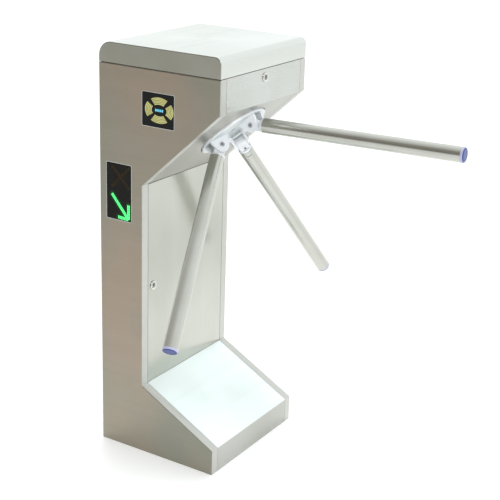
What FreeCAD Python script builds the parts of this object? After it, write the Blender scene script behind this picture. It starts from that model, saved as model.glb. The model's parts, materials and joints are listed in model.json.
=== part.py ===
"""Tripod turnstile: a folded stainless pillar with a three-armed hub on its sloping front.

Millimetres. The origin is the centre of the footprint on the floor, +X towards the passage that the
arms bar, +Y the way a visitor walks from the reader side, +Z up.
"""
import FreeCAD
import Part
import math
import os

V = FreeCAD.Vector

# ---- pillar ----
depth = 325.0            # back face to the front of the head and of the foot
column_depth = 120.0     # back face to the recessed door
width = 355.0            # across both side plates
height = 980.0           # floor to the top of the lid
lid_height = 46.0
seam = 1.5               # gap between lid and body, filled by the gasket
chamfer_top = 856.0      # where the sloping front starts, below the fascia
chamfer_bottom = 666.5   # where it meets the door
slope_top = 172.5        # where the foot's cover meets the door
toe_height = 62.0
sheet = 1.5              # stainless sheet
bend = 2.0               # outside radius of a folded edge
flange = 23.0            # folded edge of a side plate
lap = 11.0               # panel edge that passes behind a flange
joint_gap = 0.6          # line between a panel and a flange
lid_back_radius = 33.0
lid_front_radius = 15.5

# ---- base ----
base_thick = 6.0
anchor_x = 230.0         # between floor anchors
anchor_y = 250.0
anchor_hole = 7.0
cable_hole = 30.0

# ---- side windows ----
reader_w, reader_h = 86.5, 76.5
reader_x, reader_z = 1.2, 845.5
sign_w, sign_h = 71.0, 134.0
sign_x, sign_z = -107.5, 641.2
window_corner = 3.0
window_fit = 0.4
window_flange = 6.0
board_gap = 8.0          # window flange to circuit board
board_thick = 1.6
chip_height = 4.4
standoff_radius = 3.0
standoff_in = 6.0        # standoff from the board's edges

# ---- hub, in its own frame: x up the slope, y towards the reader side, z out along the shaft ----
hub_down = 110.0         # hub centre below the top edge of the slope
hub_radius = 85.0
hub_front = 5.0          # hub face proud of the sloping panel
hub_thick = 10.0
hub_gap = 1.8            # round the hub in the sloping panel
rest_turn = -4.0         # how the hub stands in its notch at rest, degrees
arms = 3
pivot_radius = 55.0      # arm pivots from the shaft's axis
pivot_front = 21.0       # arm pivots in front of the sloping panel
ear_gap = 26.0           # between a pair of ears
ear_thick = 6.5
ear_round = 17.0
ear_foot = 50.0         # ear along the hub
ear_slope = 25.0         # where its straight flank leaves the round, degrees
hub_edge = 1.5           # rounded edge of the hub
screw_circle = 28.0      # hub screws from the shaft's axis
screw_head = 6.5
screw_shank = 4.0
screw_deep = 5.0         # head below the hub's face
flange_radius = 40.0     # shaft flange under the hub
flange_thick = 8.0
pin_radius = 5.0
pin_head = 7.0
pin_head_thick = 1.5
socket_radius = 2.5
run_fit = 0.05           # radial clearance of a pin or shaft that turns
seat_fit = 0.02          # radial clearance of a plug glued or pressed in its tube
side_fit = 0.4
arm_cone = 48.0          # arm from the shaft's axis, degrees
arm_radius = 17.0
arm_wall = 1.5
arm_length = 497.0       # pivot to the end of the cap
cap_length = 7.0
root_half = 13.0         # half of the root block, and its round end about the pivot
root_bare = 26.0         # root block from its pivot to the tube
root_collar = 6.0
root_plug = 40.0         # root block inside the tube
cap_spigot = 16.0        # end cap inside the tube
cap_edge = 4.0           # its rounded edge

# ---- mechanism ----
shaft_radius = 12.5
bearing_radius = 26.0
bearing_length = 15.0
housing_wall = 9.0
housing_length = 58.0
plate_back = 30.0        # sloping panel to the mechanism plate
plate_thick = 8.0
plate_margin = 27.5      # mechanism plate's ends to the cabinet's sides
bracket_hold = 40.0      # how far a bracket's foot lies on the plate
wheel_radius = 60.0
wheel_thick = 12.0
notches = 6
notch_radius = 12.0
notch_depth = 8.0
roller_radius = 10.0
lever_reach = 58.0       # lever pivot to its roller or nose
lever_tail = 32.0
lever_width = 15.0
lever_under = 1.0        # lever's edge on the wheel's side of its centre line
lever_lift = 0.8         # roller clear of the wheel
post_radius = 5.0
rear_plate_thick = 5.0
damper_radius = 34.0
damper_length = 34.0
plunger_radius = 4.0
solenoid_radius = 14.0
solenoid_length = 34.0

# ---- locks, lid and door ----
lock_radius = 9.5
plug_radius = 6.0
lock_rim = 2.0           # front rim beyond the body
lock_rim_thick = 1.2
lock_nut = 3.5           # nut beyond the body
lock_nut_thick = 5.0
lock_fit = 0.2
key_half = (0.8, 4.2)    # key slot, half width and half height
cam_thick = 2.5
cam_width = 10.0
cam_gap = 0.6            # lock body to its cam
lid_lock_drop = 19.0     # lock centre below the body's rim
door_gap = 1.0
door_lock_z = 416.0
door_lock_in = 20.0      # lock centre from the door's edge
door_pin_radius = 2.5
door_pin_back = 4.0      # hinge axis behind the door's face
door_pin_in = 6.0        # hinge axis from the door's far edge
knuckle_radius = 4.5
hinge_y = 100.0          # lid hinges from the middle
leaf_thick = 2.0
leaf_up = 12.0           # moving leaf on the lid
leaf_down = 30.0         # fixed leaf on the back
lid_pin_radius = 2.0
lid_pin_head = 3.0
catch_thick = 3.0
catch_wide = 13.0
catch_rise = 24.0        # catch up inside the lid

# ---- worked out ----
back_x = -depth / 2
front_x = depth / 2
recess_x = back_x + column_depth
rim_z = height - lid_height - seam
lid_z = height - lid_height
half = width / 2
panel_half = half - flange - joint_gap
lid_lock_z = rim_z - lid_lock_drop
slope_angle = math.atan2(chamfer_top - chamfer_bottom, front_x - recess_x)
OUT = V(math.sin(slope_angle), 0, -math.cos(slope_angle))
UP = V(math.cos(slope_angle), 0, math.sin(slope_angle))
NEAR = V(0, -1, 0)
hub_centre = V(front_x, 0, chamfer_top) - UP * hub_down
HUB = FreeCAD.Placement(hub_centre, FreeCAD.Rotation(UP, NEAR, OUT, "ZXY"))
PROFILE = [(back_x, 0), (front_x, 0), (front_x, toe_height), (recess_x, slope_top),
           (recess_x, chamfer_bottom), (front_x, chamfer_top), (front_x, rim_z), (back_x, rim_z)]

NODES = {}


# ---- helpers ----
def box(x0, x1, y0, y1, z0, z1):
    """A block between two corners, in any order."""
    low = V(min(x0, x1), min(y0, y1), min(z0, z1))
    return Part.makeBox(abs(x1 - x0), abs(y1 - y0), abs(z1 - z0), low)


def rod(radius, start, end):
    """A round bar from start to end."""
    line = V(*end) - V(*start)
    return Part.makeCylinder(radius, line.Length, V(*start), line)


def ring(outer, inner, start, end):
    """A tube from start to end."""
    return rod(outer, start, end).cut(rod(inner, start, end))


def loop(points):
    """A closed flat outline through 3-D points."""
    return Part.Wire(Part.makePolygon([V(*p) for p in points] + [V(*points[0])]).Edges)


def slab(points, y0, y1):
    """An (x, z) outline drawn out from y0 to y1."""
    face = Part.Face(loop([(x, y0, z) for x, z in points]))
    return face.extrude(V(0, y1 - y0, 0))


def plate(points, z0, z1):
    """An (x, y) outline drawn out from z0 to z1."""
    face = Part.Face(loop([(x, y, z0) for x, y in points]))
    return face.extrude(V(0, 0, z1 - z0))


def inset(points, distance):
    """An anticlockwise outline moved inwards by one distance."""
    result = []
    count = len(points)
    for i in range(count):
        before, here, after = points[i - 1], points[i], points[(i + 1) % count]
        first = V(here[0] - before[0], here[1] - before[1], 0).normalize()
        second = V(after[0] - here[0], after[1] - here[1], 0).normalize()
        turn = first.x * second.y - first.y * second.x
        along = distance * (1 - first.dot(second)) / turn
        x = here[0] - first.y * distance - first.x * along
        y = here[1] + first.x * distance - first.y * along
        result.append((x, y))
    return result


def join(shapes):
    """One solid from pieces that touch or overlap."""
    return shapes[0].fuse(shapes[1:]).removeSplitter()


def group(shapes):
    """Separate solids in one node."""
    return Part.makeCompound(shapes)


def turned(shape, degrees, about=V(0, 0, 0), axis=V(0, 0, 1)):
    """A copy of the shape, turned."""
    copy = shape.copy()
    copy.rotate(about, axis, degrees)
    return copy


def flipped(shape, normal=V(0, 1, 0)):
    """A mirror copy of the shape."""
    return shape.mirror(V(0, 0, 0), normal)


def in_hub_frame(shape):
    """The shape carried from the hub's own frame to the pillar."""
    copy = shape.copy()
    copy.Placement = HUB.multiply(copy.Placement)
    return copy


def save(name, shape):
    """Keep a finished sub-part under its node name."""
    NODES[name] = shape


INNER = inset(PROFILE, sheet)


def rounded_plate(w, h, radius, x, z, y0, y1):
    """A plate in the side's plane with rounded corners."""
    blank = box(x - w / 2, x + w / 2, y0, y1, z - h / 2, z + h / 2)
    upright = [e for e in blank.Edges if abs(e.tangentAt(e.FirstParameter).y) > 0.99]
    return blank.makeFillet(radius, upright)


def lock_hole(x, y, z):
    """The cutter for a lock's hole in a sheet at x."""
    return rod(lock_radius + lock_fit, (x - 2 * bend, y, z), (x + 2 * bend, y, z))


# ---- folded side plates ----
def side_plate():
    """The reader side's plate: a web with folded edges, and the two window cut-outs."""
    blank = slab(PROFILE, -half, -half + flange)
    outer = [e for e in blank.Edges if abs(e.BoundBox.YMax + half) < 0.01 and e.BoundBox.ZMax > 0.01]
    body = blank.makeFillet(bend, outer)
    body = body.cut(slab(INNER, -half + sheet, -half + flange + 1))
    body = body.cut(box(back_x + sheet, front_x - sheet, -half + sheet, -half + flange + 1, -1, sheet + 1))
    for w, h, x, z in ((reader_w, reader_h, reader_x, reader_z), (sign_w, sign_h, sign_x, sign_z)):
        body = body.cut(rounded_plate(w, h, window_corner, x, z, -half - 1, -half + sheet + 1))
    return body


def windows(w, h, x, z):
    """The dark windows of both sides, each with a flange behind the web."""
    pane = rounded_plate(w - 2 * window_fit, h - 2 * window_fit, window_corner, x, z,
                         -half, -half + sheet)
    back = rounded_plate(w + 2 * window_flange, h + 2 * window_flange, window_corner, x, z,
                         -half + sheet, -half + 2 * sheet)
    one = join([pane, back])
    return group([one, flipped(one)])


def window_boards(w, h, x, z, chip):
    """A circuit board on four posts behind each window, with a chip on its back."""
    front = -half + 2 * sheet
    board = front + board_gap
    back = board + board_thick
    pieces = [box(x - w / 2, x + w / 2, board, back, z - h / 2, z + h / 2),
              box(x - chip, x + chip, back, back + chip_height, z - chip, z + chip)]
    for sx in (-1, 1):
        for sz in (-1, 1):
            at = (x + sx * (w / 2 - standoff_in), z + sz * (h / 2 - standoff_in))
            pieces.append(rod(standoff_radius, (at[0], front, at[1]), (at[0], board, at[1])))
    one = join(pieces)
    return group([one, flipped(one)])


# ---- panels between the side plates ----
def panel(first, laps=True):
    """The flush panel on the profile's side that starts at corner first, with laps behind the flanges."""
    a, b = PROFILE[first], PROFILE[(first + 1) % len(PROFILE)]
    c, d = INNER[(first + 1) % len(PROFILE)], INNER[first]
    body = slab([a, b, c, d], -panel_half, panel_half)
    if not laps:
        return body
    along = V(b[0] - a[0], 0, b[1] - a[1])
    length = along.Length
    along.normalize()
    inward = V(-along.z, 0, along.x)
    ends = 4 * sheet
    strips = []
    for side in (-1, 1):
        start = V(a[0], 0, a[1]) + along * ends + inward * sheet
        corners = [start, start + along * (length - 2 * ends)]
        corners += [corners[1] + inward * sheet, corners[0] + inward * sheet]
        y0 = side * (panel_half - lap)
        y1 = side * (panel_half + lap)
        strips.append(slab([(p.x, p.z) for p in corners], min(y0, y1), max(y0, y1)))
    return join([body] + strips)


def fascia_panel():
    """The upright front of the head, with a return that carries the gasket, and the lock's hole."""
    rim = box(front_x - flange, front_x - sheet / 2, -panel_half, panel_half, rim_z - sheet, rim_z)
    body = join([panel(5), rim])
    return body.cut(lock_hole(front_x, 0, lid_lock_z))


def back_panel():
    """The plain back, with a return that carries the gasket."""
    rim = box(back_x + sheet / 2, back_x + flange, -panel_half, panel_half, rim_z - sheet, rim_z)
    return join([panel(7), rim])


def chamfer_panel():
    """The sloping front, with the hub's round opening."""
    hole = in_hub_frame(rod(hub_radius + hub_gap, (0, 0, -20), (0, 0, 20)))
    return panel(4).cut(hole)


def base_plate():
    """The floor plate between the webs, with anchor holes and the cable entry."""
    inside = half - sheet - 0.3
    body = box(back_x + 2 * sheet + 0.3, front_x - 2 * sheet - 0.3, -inside, inside, 0, base_thick)
    for sx in (-1, 1):
        for sy in (-1, 1):
            at = (sx * anchor_x / 2, sy * anchor_y / 2)
            body = body.cut(rod(anchor_hole, (at[0], at[1], -1), (at[0], at[1], base_thick + 1)))
    return body.cut(rod(cable_hole, (0, 0, -1), (0, 0, base_thick + 1)))


def rim_gasket():
    """The soft strip round the body's rim, just clear of the lid."""
    top = rim_z + seam - 0.3
    outer = box(back_x + 4, front_x - 4, -half + 4, half - 4, rim_z, top)
    inner = box(back_x + 14, front_x - 14, -half + 14, half - 14, rim_z - 1, top + 1)
    return outer.cut(inner)


# ---- door ----
door_bottom = slope_top + door_gap
door_top = chamfer_bottom - door_gap
door_half = half - flange - door_gap
door_pin = V(recess_x - door_pin_back, door_half - door_pin_in, 0)
door_lock_y = -door_half + door_lock_in
tab_thick = 2.0
tab_in = (1.0, 16.0)     # hinge tab from the door's far edge
tab_deep = 12.0
rib_thick = 2.0
rib_depth = 10.0
rib_in = 40.0            # ribs from the door's upright edges
rib_short = 12.0         # ribs from its top and bottom
rebate = 6.0             # how far the door shuts onto its rebate strip
rebate_short = 20.0      # strip from the door's top and bottom
lid_lock_length = 32.0
lid_cam_length = 28.0
door_lock_length = 16.0
door_cam_length = door_lock_in + door_gap + 12.0


def front_door():
    """The recessed door: a flat sheet with two upright ribs and a hinge tab at top and bottom."""
    x = recess_x - sheet
    body = [box(x, recess_x, -door_half, door_half, door_bottom, door_top)]
    for side in (-1, 1):
        y = side * (door_half - rib_in)
        body.append(box(x - rib_depth, x, y - rib_thick / 2, y + rib_thick / 2,
                        door_bottom + rib_short, door_top - rib_short))
    for z in (door_bottom, door_top - tab_thick):
        body.append(box(recess_x - tab_deep, recess_x, door_half - tab_in[1], door_half - tab_in[0],
                        z, z + tab_thick))
    door = join(body)
    door = door.cut(rod(door_pin_radius + run_fit, (door_pin.x, door_pin.y, door_bottom - 1),
                        (door_pin.x, door_pin.y, door_top + 1)))
    return door.cut(lock_hole(recess_x, door_lock_y, door_lock_z))


def door_hinge_brackets():
    """The pin brackets welded to the far side plate, and the rebate strip that the door shuts on."""
    pieces = []
    for z0, z1, pin_end in ((door_top + 2, door_top + 5, door_top - tab_thick - 2),
                            (door_bottom - 5, door_bottom - 0.3, door_bottom + tab_thick + 2)):
        arm = box(recess_x - 16, recess_x - 1.5 * sheet, door_half - 14, half - sheet, z0, z1)
        pin = rod(door_pin_radius, (door_pin.x, door_pin.y, (z0 + z1) / 2),
                  (door_pin.x, door_pin.y, pin_end))
        clear = box(recess_x - 3 * sheet, recess_x + 1, door_half, half, z0 - 1, z1 + 1)
        pieces.append(join([arm.cut(clear), pin]))
    strip = box(recess_x - 2 * sheet - 0.2, recess_x - sheet - 0.2, -half + sheet + 0.2,
                -door_half + rebate, door_bottom + rebate_short, door_top - rebate_short)
    return group(pieces + [strip])


# ---- locks ----
def lock_barrel(x, y, z, length):
    """A round lock body with a thin front rim and a nut behind the sheet."""
    rim = rod(lock_radius + lock_rim, (x, y, z), (x + lock_rim_thick, y, z))
    tube = rod(lock_radius, (x - length, y, z), (x, y, z))
    nut = rod(lock_radius + lock_nut, (x - sheet - lock_nut_thick, y, z), (x - sheet - run_fit, y, z))
    bore = rod(plug_radius + run_fit, (x - length - 1, y, z), (x + 2, y, z))
    return join([rim, tube, nut]).cut(bore)


def lock_plug(x, y, z, length, cam_length, way):
    """The turning plug with its key slot, and the cam on its end, pointing up (way 1) or down (-1)."""
    cam_x = x - length - cam_gap
    plug = rod(plug_radius, (cam_x - 1.4 * cam_thick, y, z), (x + 0.8 * lock_rim_thick, y, z))
    slot = box(x - plug_radius, x + lock_rim_thick, y - key_half[0], y + key_half[0],
               z - key_half[1], z + key_half[1])
    cam = box(cam_x - cam_thick, cam_x, y - cam_width / 2, y + cam_width / 2,
              z - way * cam_width / 2, z + way * cam_length)
    return join([plug.cut(slot), cam])




# ---- lid ----
def lid_outline(cut):
    """The lid's side outline as a wire in the plane y = 0, moved inwards by cut."""
    x0, x1 = back_x + cut, front_x - cut
    top = height - cut
    rb, rf = lid_back_radius - cut, lid_front_radius - cut
    low = lid_z - (1 if cut else 0)
    c = math.cos(math.pi / 4)
    points = [V(x0, 0, low), V(x1, 0, low), V(x1, 0, top - rf), V(x1 - rf, 0, top),
              V(x0 + rb, 0, top), V(x0, 0, top - rb)]
    front = Part.Arc(points[2], V(x1 - rf + rf * c, 0, top - rf + rf * c), points[3])
    back = Part.Arc(points[4], V(x0 + rb - rb * c, 0, top - rb + rb * c), points[5])
    edges = [Part.makeLine(points[0], points[1]), Part.makeLine(points[1], points[2]), front.toShape(),
             Part.makeLine(points[3], points[4]), back.toShape(), Part.makeLine(points[5], points[0])]
    return Part.Face(Part.Wire(edges))


def lid_shell():
    """The lid: a rounded sheet cover with welded ends, open below."""
    blank = lid_outline(0).extrude(V(0, width, 0))
    blank.translate(V(0, -half, 0))
    ends = [e for e in blank.Edges
            if e.BoundBox.YMax - e.BoundBox.YMin < 0.01 and e.BoundBox.ZMax > lid_z + 0.01]
    blank = blank.makeFillet(bend, ends)
    hollow = lid_outline(sheet).extrude(V(0, width - 2 * sheet, 0))
    hollow.translate(V(0, -half + sheet, 0))
    return blank.cut(hollow)


def lid_catch():
    """The hook inside the lid's front, with the step that the lock's cam turns down onto."""
    x1 = front_x - sheet
    cam_x = front_x - lid_lock_length - cam_gap - cam_thick
    leg_x = cam_x - 5
    y0, y1 = lid_cam_length - catch_wide - 2, lid_cam_length - 2
    step_z = lid_lock_z - cam_width / 2 - 1
    top = lid_z + catch_rise
    leg = box(leg_x - catch_thick, leg_x, y0, y1, step_z - catch_thick, top)
    arm = box(leg_x, x1 - catch_thick, y1 - catch_thick, y1, lid_z + catch_rise / 3, top)
    foot = box(x1 - catch_thick, x1, y1 - 1.5 * catch_wide, y1, lid_z + catch_rise / 6, top)
    step = box(leg_x, cam_x + cam_thick + 2, y0, y1, step_z - catch_thick, step_z)
    return join([leg, arm, foot, step])


hinge_x = back_x - knuckle_radius - 0.2
hinge_z = rim_z + seam / 2
hinge_long = 50.0


def hinge_leaf(y, moving):
    """One leaf of a butt hinge with its share of the knuckles."""
    cuts = [-hinge_long / 2, -hinge_long / 6, hinge_long / 6, hinge_long / 2]
    spans = [(cuts[1], cuts[2])] if moving else [(cuts[0], cuts[1]), (cuts[2], cuts[3])]
    others = [(cuts[0], cuts[1]), (cuts[2], cuts[3])] if moving else [(cuts[1], cuts[2])]
    tall = leaf_up if moving else -leaf_down
    z0, z1 = sorted((hinge_z, hinge_z + tall))
    body = box(back_x - leaf_thick, back_x, y - hinge_long / 2, y + hinge_long / 2, z0, z1)
    for a, b in others:
        clear = rod(knuckle_radius + 0.4, (hinge_x, y + a - 0.4, hinge_z), (hinge_x, y + b + 0.4, hinge_z))
        body = body.cut(clear)
        edge = 2.0 if moving else -2.0
        e0, e1 = sorted((hinge_z - edge, hinge_z + edge))
        body = body.cut(box(back_x - leaf_thick - 1, back_x + 1, y + a - 0.4, y + b + 0.4, e0, e1))
    pieces = [body]
    for a, b in spans:
        pieces.append(rod(knuckle_radius, (hinge_x, y + a + 0.2, hinge_z), (hinge_x, y + b - 0.2, hinge_z)))
    bore = rod(lid_pin_radius + run_fit, (hinge_x, y - hinge_long, hinge_z), (hinge_x, y + hinge_long, hinge_z))
    return join(pieces).cut(bore)


def hinge_pin(y):
    """The headed pin of one lid hinge."""
    ends = (y - hinge_long / 2, y + hinge_long / 2)
    shank = rod(lid_pin_radius, (hinge_x, ends[0] - 1, hinge_z), (hinge_x, ends[1] + 1, hinge_z))
    heads = [rod(lid_pin_head, (hinge_x, ends[0] - 2.2, hinge_z), (hinge_x, ends[0] - 0.2, hinge_z)),
             rod(lid_pin_head, (hinge_x, ends[1] + 0.2, hinge_z), (hinge_x, ends[1] + 2.2, hinge_z))]
    return join([shank] + heads)


# ---- hub and arms ----
def arm_frames(shape):
    """The shape repeated at each arm's angle, in the hub's frame."""
    return [turned(shape, rest_turn + 360.0 / arms * i) for i in range(arms)]


def ear(y0, y1):
    """One D-shaped ear, drawn with the arm's radius along x."""
    foot0 = pivot_radius - ear_foot / 2
    foot1 = pivot_radius + ear_foot / 2 - 4
    rise = pivot_front - hub_front
    low = -1.0
    c, s = math.cos(math.radians(ear_slope)), math.sin(math.radians(ear_slope))
    start = V(pivot_radius + ear_round * c, y0, hub_front + rise + ear_round * s)
    top = V(pivot_radius, y0, hub_front + rise + ear_round)
    end = V(pivot_radius - ear_round * c, y0, hub_front + rise + ear_round * s)
    arc = Part.Arc(start, top, end).toShape()
    base = [end, V(foot0, y0, hub_front + 4), V(foot0, y0, hub_front + low),
            V(foot1, y0, hub_front + low), V(foot1, y0, hub_front + 4), start]
    outline = Part.Wire([arc] + Part.makePolygon(base).Edges)
    return Part.Face(outline).extrude(V(0, y1 - y0, 0))


def hub_disc():
    """The turning disc with a pair of ears for each arm."""
    disc = rod(hub_radius, (0, 0, hub_front - hub_thick), (0, 0, hub_front))
    rim = [e for e in disc.Edges if abs(e.BoundBox.ZMin - hub_front) < 0.01 and e.BoundBox.ZLength < 0.01]
    disc = disc.makeFillet(hub_edge, rim)
    inner, outer = ear_gap / 2, ear_gap / 2 + ear_thick
    pair = [ear(inner, outer), ear(-outer, -inner)]
    body = join([disc] + [s for e in pair for s in arm_frames(e)])
    bore = rod(pin_radius, (pivot_radius, -outer - 1, pivot_front), (pivot_radius, outer + 1, pivot_front))
    for hole in arm_frames(bore):
        body = body.cut(hole)
    for i in range(arms):
        at = screw_at(i)
        body = body.cut(rod(screw_shank + 0.1, (at.x, at.y, -hub_thick), (at.x, at.y, hub_front + 1)))
        body = body.cut(rod(screw_head + 0.5, (at.x, at.y, hub_front - screw_deep), (at.x, at.y, hub_front + 1)))
    return body


def screw_at(i):
    """Where the hub is screwed to the shaft's flange, between the arms."""
    angle = math.radians(rest_turn + 60 + 360.0 / arms * i)
    return V(screw_circle * math.cos(angle), screw_circle * math.sin(angle), 0)


def hub_screws():
    """The socket screws that hold the hub on the shaft's flange."""
    screws = []
    for i in range(arms):
        at = screw_at(i)
        seat = hub_front - screw_deep
        head = rod(screw_head, (at.x, at.y, seat), (at.x, at.y, hub_front - 0.4))
        socket = rod(socket_radius, (at.x, at.y, hub_front - screw_deep / 2), (at.x, at.y, hub_front + 1))
        shank = rod(screw_shank, (at.x, at.y, flange_rear), (at.x, at.y, seat))
        screws.append(join([head.cut(socket), shank]))
    return group(screws)


def ear_pins():
    """The arm pivots, each with a round head and a hexagon socket on both ends."""
    outer = ear_gap / 2 + ear_thick
    shank = rod(pin_radius - 0.01, (pivot_radius, -outer, pivot_front), (pivot_radius, outer, pivot_front))
    heads = []
    for side in (-1, 1):
        heads.append(rod(pin_head, (pivot_radius, side * outer, pivot_front),
                         (pivot_radius, side * (outer + pin_head_thick), pivot_front)))
    pin = join([shank] + heads)
    for side in (-1, 1):
        pin = pin.cut(rod(socket_radius, (pivot_radius, side * (outer - 2), pivot_front),
                          (pivot_radius, side * (outer + 2), pivot_front)))
    return group(arm_frames(pin))


def along_arm(shape):
    """A shape drawn up z from the pivot, laid along an arm that points out of the hub at angle zero."""
    copy = turned(shape, arm_cone, axis=V(0, 1, 0))
    copy.translate(V(pivot_radius, 0, pivot_front))
    return copy


def arm_root():
    """The machined block: a tongue between the ears and a plug inside the tube."""
    wide = ear_gap / 2 - side_fit
    tongue = rod(root_half, (0, -wide, 0), (0, wide, 0))
    neck = box(-root_half, root_half, -wide, wide, 0, root_bare)
    collar = rod(arm_radius, (0, 0, root_bare - root_collar), (0, 0, root_bare))
    plug = rod(arm_radius - arm_wall - seat_fit, (0, 0, root_bare), (0, 0, root_bare + root_plug))
    body = join([tongue, neck, collar, plug])
    return body.cut(rod(pin_radius + run_fit, (0, -wide - 1, 0), (0, wide + 1, 0)))


def arm_tube():
    """The polished tube of one arm."""
    return ring(arm_radius, arm_radius - arm_wall, (0, 0, root_bare), (0, 0, arm_length - cap_length))


def arm_cap():
    """The moulded end cap: a rounded head and a spigot in the tube."""
    start = arm_length - cap_length
    head = rod(arm_radius, (0, 0, start), (0, 0, arm_length))
    edge = [e for e in head.Edges if abs(e.BoundBox.ZMin - arm_length) < 0.01 and e.BoundBox.ZLength < 0.01]
    head = head.makeFillet(cap_edge, edge)
    spigot = rod(arm_radius - arm_wall - seat_fit, (0, 0, start - cap_spigot), (0, 0, start))
    return join([head, spigot])


# ---- mechanism, in the hub's frame ----
plate_front = -plate_back
plate_rear = plate_front - plate_thick
housing_front = plate_front + 8
housing_rear = housing_front - housing_length
wheel_front = housing_rear - 6
wheel_rear = wheel_front - wheel_thick
sensor_front = wheel_rear - 5
rear_front = wheel_rear - 14
rear_rear = rear_front - rear_plate_thick
damper_rear = rear_rear - damper_length
shaft_end = damper_rear - 14
flange_rear = hub_front - hub_thick - flange_thick
lift_radius = wheel_radius + roller_radius + lever_lift
seat_drop = math.degrees(math.asin((lever_lift + notch_depth - 0.4) / lever_reach))
lever_mid = (wheel_front + wheel_rear) / 2
post_places = [(82, 0), (-82, 12), (50, 70), (0, -80)]


def mechanism_plate():
    """The plate behind the sloping front that carries the whole head."""
    reach = half - plate_margin
    body = plate([(-96, -reach), (80, -reach), (80, reach), (-96, reach)], plate_rear, plate_front)
    return body.cut(rod(bearing_radius + housing_wall, (0, 0, plate_rear - 1), (0, 0, plate_front + 1)))


def mechanism_brackets():
    """The angles that bolt the mechanism plate to both webs."""
    inside = half - sheet
    foot = box(-90, 70, half - plate_margin - bracket_hold, inside, plate_front, plate_front + 4)
    wall = box(-90, 70, inside - 5, inside, plate_front, plate_front + 22)
    one = join([foot, wall])
    return group([one, flipped(one)])


def bearing_housing():
    """The flanged housing of the two shaft bearings."""
    wall = bearing_radius + housing_wall
    body = ring(wall - 0.02, bearing_radius, (0, 0, housing_rear), (0, 0, housing_front))
    lip = ring(wall + 17, wall - 1, (0, 0, plate_rear - 10), (0, 0, plate_rear))
    return join([body, lip])


def bearing(front):
    """One ball bearing as a ring on the shaft, its races and balls as one piece."""
    body = ring(bearing_radius - 0.01, shaft_radius + run_fit, (0, 0, front - bearing_length), (0, 0, front))
    groove = ring(bearing_radius - 4, shaft_radius + 4, (0, 0, front - 1), (0, 0, front + 1))
    return body.cut(groove)


def main_shaft():
    """The shaft with the flange that the hub is screwed to."""
    front = hub_front - hub_thick
    body = [rod(flange_radius, (0, 0, flange_rear), (0, 0, front)),
            rod(shaft_radius, (0, 0, shaft_end), (0, 0, flange_rear))]
    shaft = join(body)
    for i in range(arms):
        at = screw_at(i)
        shaft = shaft.cut(rod(screw_shank, (at.x, at.y, flange_rear - 1), (at.x, at.y, front + 1)))
    return shaft


def index_wheel():
    """The six-notched wheel on the shaft that the roller centres and the pawls lock."""
    body = rod(wheel_radius, (0, 0, wheel_rear), (0, 0, wheel_front))
    centre = wheel_radius - notch_depth + notch_radius
    for i in range(notches):
        angle = math.radians(90 + 360.0 / notches * i)
        at = (centre * math.cos(angle), centre * math.sin(angle))
        body = body.cut(rod(notch_radius, (at[0], at[1], wheel_rear - 1), (at[0], at[1], wheel_front + 1)))
        hole = (36 * math.cos(angle), 36 * math.sin(angle))
        body = body.cut(rod(7, (hole[0], hole[1], wheel_rear - 1), (hole[0], hole[1], wheel_front + 1)))
    boss = rod(shaft_radius + 8, (0, 0, wheel_rear - 3), (0, 0, wheel_front + 3))
    return join([body, boss]).cut(rod(shaft_radius, (0, 0, wheel_rear - 5), (0, 0, wheel_front + 5)))


def lever(nose):
    """A flat lever beside the wheel's rim: pivot at one third, a nose or a roller's fork at the end."""
    z0, z1 = wheel_rear, wheel_front
    wide = lever_width / 2
    pivot = V(-lever_reach, lift_radius, 0)
    bar = box(-lever_reach - lever_tail, 0 if nose else -roller_radius - 3,
              lift_radius - lever_under, lift_radius + wide, z0 + 2, z1 - 2)
    eye = rod(wide + 2, (pivot.x, pivot.y, z0), (pivot.x, pivot.y, z1))
    tail = rod(wide, (pivot.x - lever_tail, pivot.y, z0 + 2), (pivot.x - lever_tail, pivot.y, z1 - 2))
    pieces = [bar, eye, tail]
    if nose:
        pieces.append(rod(roller_radius, (0, lift_radius, z0), (0, lift_radius, z1)))
    else:
        for a, b in ((z0 + 0.5, z0 + 3), (z1 - 3, z1 - 0.5)):
            pieces.append(box(-roller_radius - 14, 0, lift_radius - lever_under, lift_radius + wide - 1, a, b))
            pieces.append(rod(wide - 1, (0, lift_radius, a), (0, lift_radius, b)))
        pieces.append(rod(2.5, (0, lift_radius, z0 + 0.5), (0, lift_radius, z1 - 0.5)))
    body = join(pieces)
    return body.cut(rod(post_radius + run_fit, (pivot.x, pivot.y, z0 - 1), (pivot.x, pivot.y, z1 + 1)))


def index_roller():
    """The roller that rides the wheel's notches."""
    z0, z1 = wheel_rear + 3.3, wheel_front - 3.3
    return ring(roller_radius, 2.5 + run_fit, (0, lift_radius, z0), (0, lift_radius, z1))


def tail_point():
    """Where a spring or plunger meets a lever's tail."""
    return V(-lever_reach - lever_tail, lift_radius + lever_width / 2, lever_mid)


def index_spring():
    """The spring that pulls the lever's tail out, so that the roller is pushed to the wheel."""
    at = tail_point()
    coil = Part.makeHelix(3.2, 32, 5.0)
    profile = Part.Wire(Part.makeCircle(0.9, V(5.0, 0, 0), V(0, 1, 0)))
    body = Part.Wire(coil).makePipeShell([profile], True, True)
    body.rotate(V(0, 0, 0), V(1, 0, 0), -90)
    body.translate(V(at.x, at.y + 1.4, at.z))
    return body


def spring_anchor():
    """The angle on the mechanism plate that holds the spring's far end."""
    at = tail_point()
    y = at.y + 37
    wall = box(at.x - 7, at.x + 7, y, y + 5, at.z - 7, plate_rear)
    foot = box(at.x - 7, at.x + 7, y, y + 14, plate_rear - 4, plate_rear)
    return join([wall, foot])


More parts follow.
